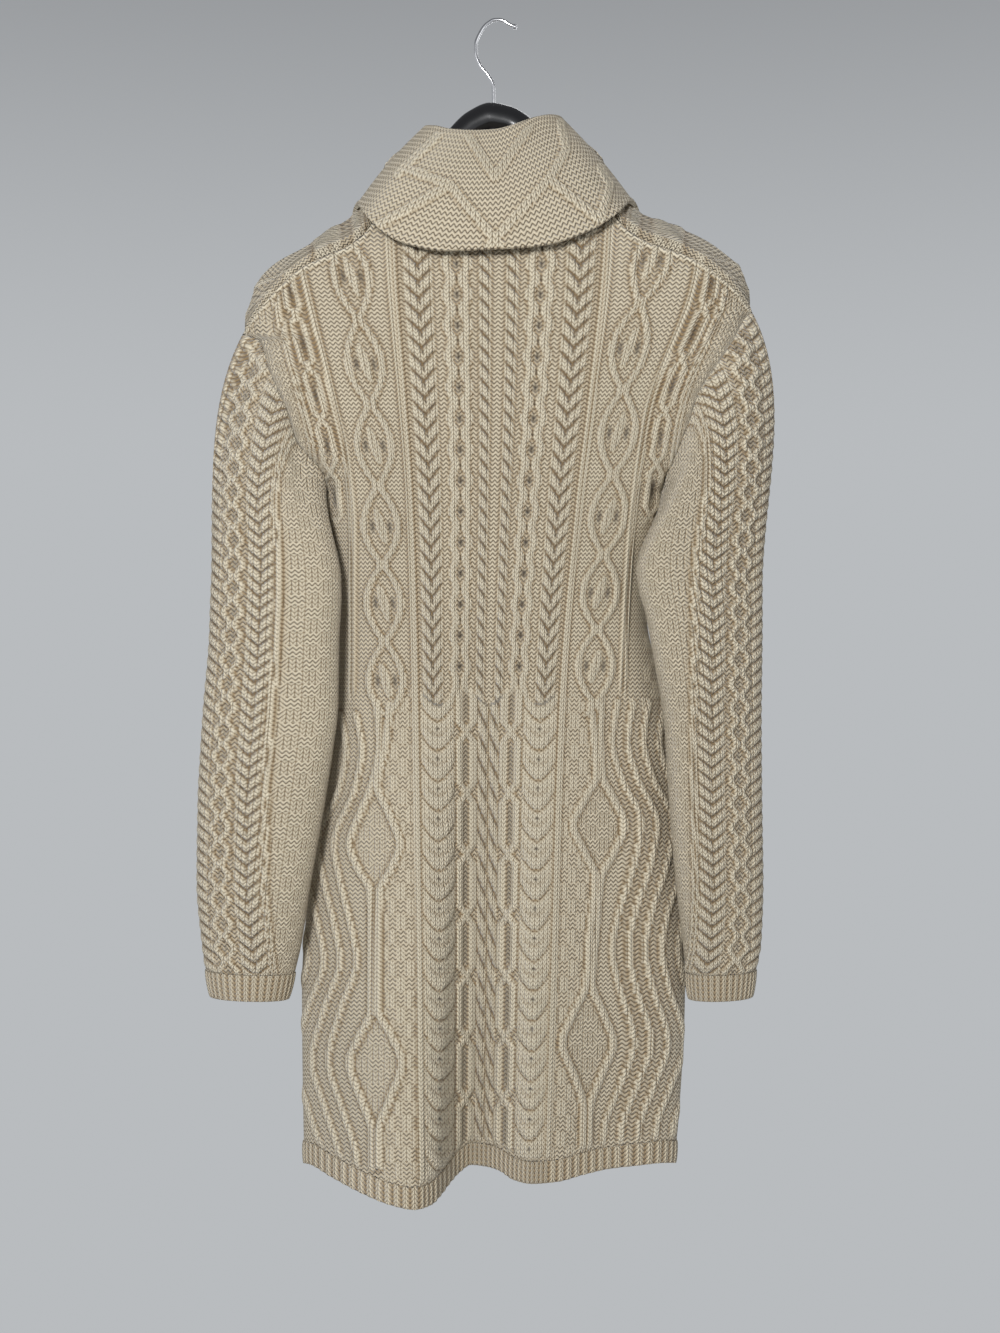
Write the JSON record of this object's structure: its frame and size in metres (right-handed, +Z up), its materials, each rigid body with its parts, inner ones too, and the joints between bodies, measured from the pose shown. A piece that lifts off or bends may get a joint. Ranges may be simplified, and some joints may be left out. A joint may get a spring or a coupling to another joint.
{
  "type": "aran cardigan on a hanger",
  "caption": "Long cream knitted cardigan with raised cables, turned-down collar, ribbed cuffs and hem, hung on a black hanger by its wire hook.",
  "frame": {"origin": "the inside top of the hook's crook, where a rail carries it", "axes": "+Z up, -Y out of the garment's back, +Y out of its front, +X to the right as seen from behind the back"},
  "size_m": [0.4871, 0.1775, 0.981],
  "materials": {
    "wool": "cabled cream wool",
    "rib": "ribbed cream wool",
    "button": "horn-like",
    "hanger": "gloss black",
    "hook": "polished wire"
  },
  "bodies": {
    "root": {"back": "wool", "front_left": "wool", "front_right": "wool", "sleeve_left": "wool", "sleeve_right": "wool", "collar": "wool", "hem_back": "rib", "hem_front_left": "rib", "hem_front_right": "rib", "cuff_left": "rib", "cuff_right": "rib", "band_left": "rib", "band_right": "rib", "button_1": "button", "button_2": "button", "button_3": "button", "button_4": "button", "button_5": "button", "button_6": "button", "button_7": "button", "hanger_arch": "hanger", "hanger_hook": "hook"}
  },
  "joints": []
}
